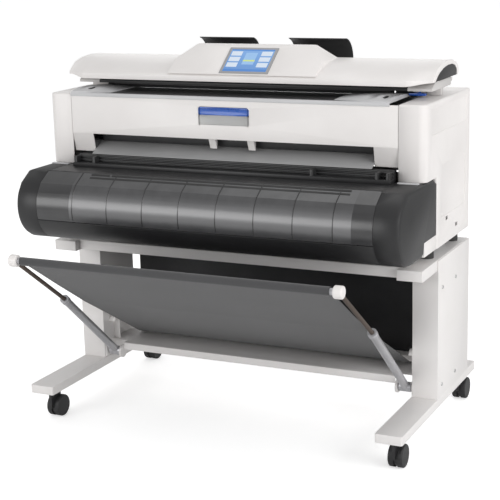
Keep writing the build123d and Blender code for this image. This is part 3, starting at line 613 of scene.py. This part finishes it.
for label, (x0, x1, outward) in wedge["spans"].items():
    columns, rows = wedge["columns"], wedge["rows"]
    faces, top = [], []
    for i in range(columns + 1):
        u = i / columns
        toward = u if outward > 0 else 1 - u
        x = x0 + (x1 - x0) * u
        front = wedge["front"] + wedge["sweep"] * (1 - toward) ** 2
        for j in range(rows + 1):
            v = j / rows
            y = front + (wedge["back"] - front) * v
            top.append(at(x, y, wedge["over"] + wedgeHeight(toward, v)))
    width = rows + 1
    verts = top + [at(p.x * 1000, p.y * 1000 - shiftBack, wedge["under"]) for p in top]
    below = len(top)
    for i in range(columns):
        for j in range(rows):
            a = i * width + j
            faces.append((a, a + width, a + width + 1, a + 1))
            faces.append((below + a, below + a + 1, below + a + width + 1, below + a + width))
    for j in range(rows):
        for i in (0, columns):
            a = i * width + j
            faces.append((a, a + 1, below + a + 1, below + a))
    for i in range(columns):
        for j in (0, rows):
            a = i * width + j
            faces.append((a, below + a, below + a + width, a + width))
    endPiece = facedOut(newPiece("tableEnd" + label, verts, faces, paint["grey_plastic"], "upper_unit"))
    smoothed(endPiece, 40)
    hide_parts("table_ends")
print("document table made")

# Painted shade: dark bars behind the print exit and under the scanner, which stand for the shadow in those
# gaps and close the view into the body
shades = {
    "exitCurtain": (471, ((-204, 908.5), (-206, 940), (-203, 940), (-200, 908.5)), 0.5),
    "feedThroat": (478, ((-57, 1066.4), (-60, 1066.4), (-60, 1080), (-104, 1081), (-104, 1083.6),
                         (-57, 1083.6)), 0.6),
}
for name, (half, outline, soft) in shades.items():
    verts, faces = [], []
    block(verts, faces, -half, half, outline)
    softBevel(facedOut(newPiece(name, verts, faces, paint["black_plastic"], "upper_unit")), soft)

# Dark oval grips on the document table, each a low dome of three rings
grips = {"at": ((446, 1071.2, 11), (491, 1074, 13), (-474, 1071.2, 11), (-519, 1074, 13)), "y": -190,
         "half": 26, "sides": 20, "slope": 0.02, "rings": ((0, 1.0), (2.2, 0.94), (2.8, 0.8))}
verts, faces = [], []
for x, z, wide in grips["at"]:
    base = len(verts)
    sides = grips["sides"]
    for lift, grow in grips["rings"]:
        for k in range(sides):
            turn = 2 * math.pi * k / sides
            forward = grips["half"] * math.sin(turn)
            verts.append(at(x + wide * grow * math.cos(turn), grips["y"] + forward * grow,
                            z + lift + forward * grips["slope"]))
    for ring in (0, sides):
        for k in range(sides):
            a, b = base + ring + k, base + ring + (k + 1) % sides
            faces.append((a, b, b + sides, a + sides))
    faces.append(tuple(base + 2 * sides + k for k in range(sides)))
    faces.append(tuple(base + k for k in reversed(range(sides))))
newPiece("tableGrips", verts, faces, paint["black_plastic"], "upper_unit")

# Latch handle: a hollowed blue grip above a finger scoop, inside a pale rim
grip = {"x": (-94, 78), "z": (1011, 1035), "corner": 5, "front": -250.6, "back": 4.5,
        "hollow": 2.6, "roll": 1.2}
scoop = {"x": (-94, 78), "z": (979, 1011), "corner": 4, "front": -250.4, "back": 18, "deep": 15}
border = {"middle": (-8, 1007), "half": (86, 28), "corner": 4, "wide": 2.8,
          "y": (-251.4, -249.5), "steps": 6}
panelColumns = 40
panelRows = 10


def roundedPanel(name, shape, depth, material, body):
    # a panel with round corners in X and Z, its front face pushed in by depth(u, v)
    columns, rows = panelColumns, panelRows
    xs, zs, corner, front, back = (shape[key] for key in ("x", "z", "corner", "front", "back"))
    verts, faces = [], []
    for layer in (0, 1):
        for j in range(rows + 1):
            for i in range(columns + 1):
                u, v = i / columns * 2 - 1, j / rows * 2 - 1
                halfX, halfZ = (xs[1] - xs[0]) / 2, (zs[1] - zs[0]) / 2
                x, z = u * halfX, v * halfZ
                over = max(0, abs(z) - (halfZ - corner))
                pull = corner - math.sqrt(max(corner * corner - over * over, 0))
                x = math.copysign(min(abs(x), halfX - pull), x)
                dip = depth(u, v) if layer == 0 else back
                verts.append(at((xs[0] + xs[1]) / 2 + x, front + dip, (zs[0] + zs[1]) / 2 + z))
    width = columns + 1
    below = width * (rows + 1)
    for j in range(rows):
        for i in range(columns):
            a = j * width + i
            faces.append((a, a + 1, a + width + 1, a + width))
            faces.append((below + a, below + a + width, below + a + width + 1, below + a + 1))
    for i in range(columns):
        for j in (0, rows):
            a = j * width + i
            faces.append((a, below + a, below + a + 1, a + 1))
    for j in range(rows):
        for i in (0, columns):
            a = j * width + i
            faces.append((a, a + width, below + a + width, below + a))
    return smoothed(facedOut(newPiece(name, verts, faces, material, body)), 50)


def gripDepth(u, v):
    return grip["hollow"] * (1 - u * u) * max(0, 1 - v * v) + grip["roll"] * max(abs(u), abs(v)) ** 8


def scoopDepth(u, v):
    rise = math.sin(math.pi * 0.5 * min(1, 0.5 + 0.5 * v + 0.12))
    return 1 + scoop["deep"] * max(0, 1 - abs(u) ** 6) * rise


handle = roundedPanel("latchGrip", grip, gripDepth, paint["blue_plastic"], "latch")
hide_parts("latch_handle")
# the scoop takes the grey with painted shade for its recess
roundedPanel("fingerScoop", scoop, scoopDepth, paint["scoop"], "upper_unit")
verts, faces = [], []
for y in border["y"]:
    for grow in (border["wide"], 0):
        for corner, (signX, signZ) in enumerate(((-1, -1), (1, -1), (1, 1), (-1, 1))):
            for k in range(border["steps"]):
                turn = math.pi / 2 * k / (border["steps"] - 1)
                sweep = (turn, math.pi / 2 - turn)[corner % 2]
                radius = border["corner"] + grow
                x = border["half"][0] - border["corner"] + radius * math.sin(sweep)
                z = border["half"][1] - border["corner"] + radius * math.cos(sweep)
                verts.append(at(border["middle"][0] + signX * x, y, border["middle"][1] + signZ * z))
loop = 4 * border["steps"]
for i in range(loop):
    j = (i + 1) % loop
    outerFront, innerFront, outerBack, innerBack = 0, loop, 2 * loop, 3 * loop
    faces.append((outerFront + i, outerFront + j, innerFront + j, innerFront + i))
    faces.append((outerBack + i, innerBack + i, innerBack + j, outerBack + j))
    faces.append((outerFront + i, outerBack + i, outerBack + j, outerFront + j))
    faces.append((innerFront + i, innerFront + j, innerBack + j, innerBack + i))
softBevel(facedOut(newPiece("handleRim", verts, faces, paint["white_plastic"], "upper_unit")), 0.6)
print("handle made")

# Deck door dressing: ribs across the window, slot lines along the top, pale strips beside the covers
door = {"y": -367, "z": 728, "radius": 112, "ribAngles": (43.8, 26.8, 18, 9, 0, -8, -15.5),
        "ribTop": ((-399, 836), (-399.5, 837.1)), "ribHigh": 1.1, "ribHalf": (1.7, 0.9),
        "ribCount": 8, "ribFirst": -0.429, "ribStep": 0.124}


def doorPoint(angle, lift):
    # Y and Z on the door's round face, at an angle above its axis
    radius = door["radius"] + lift
    turn = math.radians(angle)
    return door["y"] - radius * math.cos(turn), door["z"] + radius * math.sin(turn)


def repeated(name, shape, material, counts, first, steps):
    # Geometry Nodes: the shape set out on a grid of points, then made real with its material
    group = bpy.data.node_groups.new(name, "GeometryNodeTree")
    sockets = {}
    for label, kind in (("Across", "NodeSocketInt"), ("Up", "NodeSocketInt"), ("First", "NodeSocketVector"),
                        ("Across Step", "NodeSocketVector"), ("Up Step", "NodeSocketVector"),
                        ("Shape", "NodeSocketObject"), ("Finish", "NodeSocketMaterial")):
        sockets[label] = group.interface.new_socket(label, in_out="INPUT", socket_type=kind)
    group.interface.new_socket("Geometry", in_out="OUTPUT", socket_type="NodeSocketGeometry")
    given = group.nodes.new("NodeGroupInput")
    across = group.nodes.new("GeometryNodeMeshLine")
    rise = group.nodes.new("GeometryNodeMeshLine")
    spread = group.nodes.new("GeometryNodeInstanceOnPoints")
    points = group.nodes.new("GeometryNodeRealizeInstances")
    info = group.nodes.new("GeometryNodeObjectInfo")
    place = group.nodes.new("GeometryNodeInstanceOnPoints")
    real = group.nodes.new("GeometryNodeRealizeInstances")
    finish = group.nodes.new("GeometryNodeSetMaterial")
    result = group.nodes.new("NodeGroupOutput")
    link = group.links.new
    link(given.outputs["Across"], across.inputs["Count"])
    link(given.outputs["First"], across.inputs["Start Location"])
    link(given.outputs["Across Step"], across.inputs["Offset"])
    link(given.outputs["Up"], rise.inputs["Count"])
    link(given.outputs["Up Step"], rise.inputs["Offset"])
    link(across.outputs[0], spread.inputs["Points"])
    link(rise.outputs[0], spread.inputs["Instance"])
    link(spread.outputs[0], points.inputs[0])
    link(given.outputs["Shape"], info.inputs["Object"])
    link(points.outputs[0], place.inputs["Points"])
    link(info.outputs["Geometry"], place.inputs["Instance"])
    link(place.outputs[0], real.inputs[0])
    link(real.outputs[0], finish.inputs["Geometry"])
    link(given.outputs["Finish"], finish.inputs["Material"])
    link(finish.outputs[0], result.inputs[0])
    carrier = bpy.data.objects.new(name, bpy.data.meshes.new(name))
    bpy.context.scene.collection.objects.link(carrier)
    layout = carrier.modifiers.new("layout", "NODES")
    layout.node_group = group
    values = {"Across": counts[0], "Up": counts[1], "First": first, "Across Step": steps[0],
              "Up Step": steps[1], "Shape": shape, "Finish": material}
    for label, value in values.items():
        layout[sockets[label].identifier] = value
    applied(carrier)
    smoothed(carrier)
    bpy.data.objects.remove(shape)
    return carrier


ribLine = [door["ribTop"][0]] + [doorPoint(angle, 0) for angle in door["ribAngles"]]
ribFace = [door["ribTop"][1]] + [doorPoint(angle, door["ribHigh"]) for angle in door["ribAngles"]]
ribFoot, ribCrest = door["ribHalf"]
verts, faces = [], []
for offset, line in ((-ribFoot, ribLine), (-ribCrest, ribFace), (ribCrest, ribFace), (ribFoot, ribLine)):
    verts.extend(at(offset, y, z) for y, z in line)
span = len(ribLine)
for layer in range(3):
    for i in range(span - 1):
        a = layer * span + i
        faces.append((a, a + 1, a + span + 1, a + span))
faces.append((0, span, 2 * span, 3 * span))
faces.append((4 * span - 1, 3 * span - 1, 2 * span - 1, span - 1))
rib = facedOut(newPiece("ribShape", verts, faces, paint["ribs"], None))
ribs = repeated("doorRibs", rib, paint["ribs"], (door["ribCount"], 1), Vector((door["ribFirst"], 0, 0)),
                (Vector((door["ribStep"], 0, 0)), Vector((0, 0, 0.001))))
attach(ribs, "deck_door")

# painted shade: the slot lines are dark strips laid on the door, standing for the shade inside the slots
slotLine = {"lines": ((-395, -330, -405, 832.4), (-322, 470, -405, 832.4), (-395, 470, -417, 824.4)),
            "slope": 1.95}
verts, faces = [], []
for x0, x1, y, z in slotLine["lines"]:
    low, high = z - slotLine["slope"], z + slotLine["slope"]
    block(verts, faces, x0, x1, ((y - 2.2, low), (y - 2.4, low + 1.4), (y + 2.0, high + 1.6),
                                 (y + 2.2, high)))
slots = facedOut(newPiece("doorSlots", verts, faces, paint["rubber"], "deck_door"))
softBevel(slots, 0.4)

strip = {"x": (562, 626), "outline": ((-278, 835.5), (-278, 838), (-276, 839.2), (-266, 839.2), (-264, 838),
                                      (-264, 835.5))}
verts, faces = [], []
for side in (-1, 1):
    block(verts, faces, side * strip["x"][0], side * strip["x"][1], strip["outline"])
strips = facedOut(newPiece("deckStrips", verts, faces, paint["grey_plastic"], "machine"))
softBevel(strips, 0.8)

# Stand bolts: domed heads with a hexagon recess
bolt = {"rings": ((0.0, 6.0), (1.6, 6.0), (3.2, 4.4), (3.2, 2.7), (1.2, 2.6)), "sides": 12,
        "recess": 4, "flat": 0.87, "face": 640.9, "first": (-82, 170), "steps": (0.138, 0.313)}


def boltHead(side):
    sides = bolt["sides"]
    verts, faces = [], []
    for depth, radius in bolt["rings"]:
        for k in range(sides):
            turn = 2 * math.pi * k / sides
            reach = radius * (1 if radius > bolt["recess"] or k % 2 == 0 else bolt["flat"])
            verts.append(Vector((side * depth, reach * math.cos(turn), reach * math.sin(turn))) / 1000)
    rings = len(bolt["rings"])
    for ring in range(rings - 1):
        for k in range(sides):
            a, b = ring * sides + k, ring * sides + (k + 1) % sides
            faces.append((a, b, b + sides, a + sides))
    faces.append(tuple(range((rings - 1) * sides, rings * sides)))
    faces.append(tuple(reversed(range(sides))))
    return facedOut(newPiece("boltShape", verts, faces, paint["bolt_steel"], None))


for side, label in ((-1, "Left"), (1, "Right")):
    bolts = repeated("standBolts" + label, boltHead(side), paint["bolt_steel"], (2, 2),
                     at(side * bolt["face"], *bolt["first"]),
                     (Vector((0, bolt["steps"][0], 0)), Vector((0, 0, bolt["steps"][1]))))
    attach(bolts, "machine")
    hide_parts("stand_bolts")
print("deck and stand details made")

# CAD pieces that show as they are get their material here
for node, thing in frame["nodes"].items():
    if node in slotOf:
        painted(thing, paint[slotOf[node]])

# Catch cloth: one cloth in two lengths that share an edge, wrapped round the front bar
cloth = {"halfWidth": 512, "columns": 96, "thick": 0.0009, "split": (-331, 398.5), "inset": 8, "hold": 70,
         "sagMiddle": 2.0, "sagEdge": 1.5, "ripple": 1.4, "pull": 5.0}
clothAngle = 80


def clothLine(points, count):
    # even points along a smooth line through the given ones
    path = [Vector((0, y, z)) for y, z in points]
    fine = []
    for i in range(len(path) - 1):
        before = path[max(i - 1, 0)]
        after = path[min(i + 2, len(path) - 1)]
        for k in range(24):
            t = k / 24
            a, b = path[i], path[i + 1]
            fine.append(0.5 * ((2 * a) + (b - before) * t + (2 * before - 5 * a + 4 * b - after) * t * t
                               + (3 * a - before - 3 * b + after) * t * t * t))
    fine.append(path[-1])
    lengths = [0.0]
    for a, b in zip(fine, fine[1:]):
        lengths.append(lengths[-1] + (b - a).length)
    even = []
    step = 0
    for k in range(count + 1):
        goal = lengths[-1] * k / count
        while step < len(lengths) - 2 and lengths[step + 1] < goal:
            step += 1
        span = lengths[step + 1] - lengths[step]
        even.append(fine[step].lerp(fine[step + 1], (goal - lengths[step]) / span if span else 0))
    return even, lengths[-1]


def clothPiece(name, points, rows, begin, node, parent, child, start, end):
    # rows of points with a slight sag, ripple and drawn-in edges; begin is the length of cloth before it
    line, length = clothLine(points, rows)
    half = cloth["halfWidth"]
    verts, uv, faces = [], [], []
    for r, spot in enumerate(line):
        for c in range(cloth["columns"] + 1):
            s = c / cloth["columns"] * 2 - 1
            along = (begin + length * r / rows) / cloth["whole"]
            slack = math.sin(math.pi * min(max(along, 0), 1))
            edge = abs(s) ** 6
            sag = slack * (cloth["sagMiddle"] * (1 - s * s) + cloth["sagEdge"] * edge)
            ripple = slack * cloth["ripple"] * math.sin(9 * s + 2.2 * along) * (0.4 + 0.6 * abs(s))
            pull = slack * cloth["pull"] * edge
            verts.append(at(s * (half - pull - cloth["inset"]), spot.y, spot.z - sag + ripple))
            uv.append((s * half / 1000, (begin + length * r / rows) / 1000))
    across = cloth["columns"] + 1
    for r in range(rows):
        for c in range(cloth["columns"]):
            a = r * across + c
            faces.append((a, a + 1, a + across + 1, a + across))
    piece = newPiece(name, verts, faces, paint["cloth"], None, clothAngle, uv)
    solid = piece.modifiers.new("thickness", "SOLIDIFY")
    solid.thickness = cloth["thick"]
    solid.offset = 0
    applied(piece)
    smoothed(piece, clothAngle)
    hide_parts(node)
    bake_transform(piece, parent, child, start=start, end=end)
    return piece, length


lowerLine = [(44, 187.2), (24, 193), (-60, 242), (-120, 277), (-210, 329), cloth["split"]]
upperLine = [cloth["split"], (-400, 442), (-480, 492), (-560, 543.5), (-622, 583), (-641, 596), (-644.5, 606),
             (-649, 615), (-657, 618.3), (-665, 615), (-669, 606), (-666, 597), (-657, 592.5)]
lowerSpan = clothLine(lowerLine, 10)[1]
upperSpan = clothLine(upperLine, 10)[1]
cloth["whole"] = lowerSpan + upperSpan - cloth["hold"]  # the hold is the part wrapped round the bar
lowerCloth, lowerLength = clothPiece("clothLower", lowerLine, 44, 0, "catch_cloth_lower", "machine",
                                     "basket_arms", at(0, 30, 190), at(0, -325, 396))
upperCloth, upperLength = clothPiece("clothUpper", upperLine, 60, lowerLength, "catch_cloth_upper",
                                     "basket_arms", "basket_front", at(0, -335, 401), at(0, -630, 588))
wide = 2 * cloth["halfWidth"] / 1000
lowerLength / 1000
upperLength / 1000
print("cloth made:", round(lowerLength), round(upperLength))

# Touch screen: a thin pane whose picture follows its own map
pane = {"middle": (24, -124, 1167), "size": (167, 117), "depth": 3.2, "proud": 0.0012,
        "low": (-176, 1128), "high": (-66, 1210)}
slope = math.atan2(pane["high"][1] - pane["low"][1], pane["high"][0] - pane["low"][0])
rise = Vector((0, math.cos(slope), math.sin(slope)))
out = Vector((0, -math.sin(slope), math.cos(slope)))
middle = at(*pane["middle"]) + out * pane["proud"]
corners, paneUv = [], []
for depth in (0, -pane["depth"]):
    for u, v in ((0, 0), (1, 0), (1, 1), (0, 1)):
        corners.append(middle + Vector((1, 0, 0)) * (u - 0.5) * pane["size"][0] / 1000
                       + rise * (v - 0.5) * pane["size"][1] / 1000 + out * depth / 1000)
        paneUv.append((u, v))
paneFaces = [(0, 1, 2, 3), (7, 6, 5, 4), (0, 4, 5, 1), (1, 5, 6, 2), (2, 6, 7, 3), (3, 7, 4, 0)]
screen = newPiece("screenPane", corners, paneFaces, paint["screen_glass"], "scanner_cover",
                  uv=paneUv)
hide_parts("touch_screen")

# Floor, lamps and camera
studio = {"floorHalf": 30, "floorTone": 0.9, "floorGlow": 0.52, "ambient": 0.55, "backdrop": 1.0}
corner = studio["floorHalf"]
floor = newPiece("studioFloor", [(-corner, -corner, 0), (corner, -corner, 0), (corner, corner, 0),
                                 (-corner, corner, 0)], [(0, 1, 2, 3)], paint["white_plastic"], None)
# the camera alone sees the floor's glow, so it lights nothing
floorPaint = bpy.data.materials.new("floorPaint")
floorPaint.use_nodes = True
floorNodes = floorPaint.node_tree
floorShader = next(n for n in floorNodes.nodes if n.type == "BSDF_PRINCIPLED")
floorShader.inputs["Base Color"].default_value = (*[studio["floorTone"]] * 3, 1)
floorShader.inputs["Roughness"].default_value = 0.9
floorShader.inputs["Specular IOR Level"].default_value = 0.1
floorOut = next(n for n in floorNodes.nodes if n.type == "OUTPUT_MATERIAL")
glow = floorNodes.nodes.new("ShaderNodeEmission")
glow.inputs["Strength"].default_value = studio["floorGlow"]
seen = floorNodes.nodes.new("ShaderNodeLightPath")
blank = floorNodes.nodes.new("ShaderNodeEmission")
blank.inputs["Strength"].default_value = 0.0
pick = floorNodes.nodes.new("ShaderNodeMixShader")
floorNodes.links.new(seen.outputs["Is Camera Ray"], pick.inputs[0])
floorNodes.links.new(blank.outputs[0], pick.inputs[1])
floorNodes.links.new(glow.outputs[0], pick.inputs[2])
both = floorNodes.nodes.new("ShaderNodeAddShader")
floorNodes.links.new(floorShader.outputs[0], both.inputs[0])
floorNodes.links.new(pick.outputs[0], both.inputs[1])
floorNodes.links.new(both.outputs[0], floorOut.inputs["Surface"])
painted(floor, floorPaint)

world = bpy.data.worlds.new("studio")
bpy.context.scene.world = world
world.use_nodes = True
sky = world.node_tree
skyShade = next(n for n in sky.nodes if n.type == "BACKGROUND")
skyShade.inputs["Color"].default_value = (1, 1, 1, 1)
path = sky.nodes.new("ShaderNodeLightPath")
level = sky.nodes.new("ShaderNodeMapRange")
level.inputs["To Min"].default_value = studio["ambient"]
level.inputs["To Max"].default_value = studio["backdrop"]
sky.links.new(path.outputs["Is Camera Ray"], level.inputs[0])
sky.links.new(level.outputs[0], skyShade.inputs["Strength"])


def softLamp(name, place, aim, size, power):
    lamp = bpy.data.lights.new(name, "AREA")
    lamp.shape = "RECTANGLE"
    lamp.size, lamp.size_y = size
    lamp.energy = power
    thing = bpy.data.objects.new(name, lamp)
    thing.location = place
    thing.rotation_euler = (Vector(aim) - Vector(place)).to_track_quat("-Z", "Y").to_euler()
    bpy.context.scene.collection.objects.link(thing)


softLamp("sideLamp", (4.0, -1.5, 2.1), (0.2, 0, 0.6), (2.4, 2.4), 84)
softLamp("frontLamp", (-1.7, -3.3, 1.35), (0, 0, 0.75), (2.3, 1.3), 38)
softLamp("topLamp", (0.2, 0.6, 3.6), (0, 0, 0.9), (3.0, 1.6), 12)
softLamp("backLamp", (-1.5, 3.6, 2.2), (0, 0, 0.7), (2.4, 1.8), 22)

eye = {"place": (1820.1, -3910.2, 1572.5), "yaw": 25.6, "pitch": 13.4, "roll": -1.5, "focal": 1339.6,
       "centre": (248.6, 246.0), "picture": 500, "sensor": 36}  # focal and centre in pixels
yaw, pitch, roll = (math.radians(eye[k]) for k in ("yaw", "pitch", "roll"))
ahead = Vector((-math.sin(yaw) * math.cos(pitch), math.cos(yaw) * math.cos(pitch), -math.sin(pitch)))
right = Vector((math.cos(yaw), math.sin(yaw), 0))
up = right.cross(ahead)
rightTilted = right * math.cos(roll) + up * math.sin(roll)
upTilted = up * math.cos(roll) - right * math.sin(roll)
lens = bpy.data.cameras.new("photoCamera")
lens.sensor_width = eye["sensor"]
lens.lens = eye["sensor"] * eye["focal"] / eye["picture"]
lens.shift_x = 0.5 - eye["centre"][0] / eye["picture"]
lens.shift_y = eye["centre"][1] / eye["picture"] - 0.5
lens.clip_end = 100
camera = bpy.data.objects.new("photoCamera", lens)
turned = Matrix((rightTilted, upTilted, -ahead)).transposed().to_4x4()
camera.matrix_world = Matrix.Translation(at(*eye["place"])) @ turned
bpy.context.scene.collection.objects.link(camera)
bpy.context.scene.camera = camera
bpy.context.scene.view_settings.view_transform = "Standard"
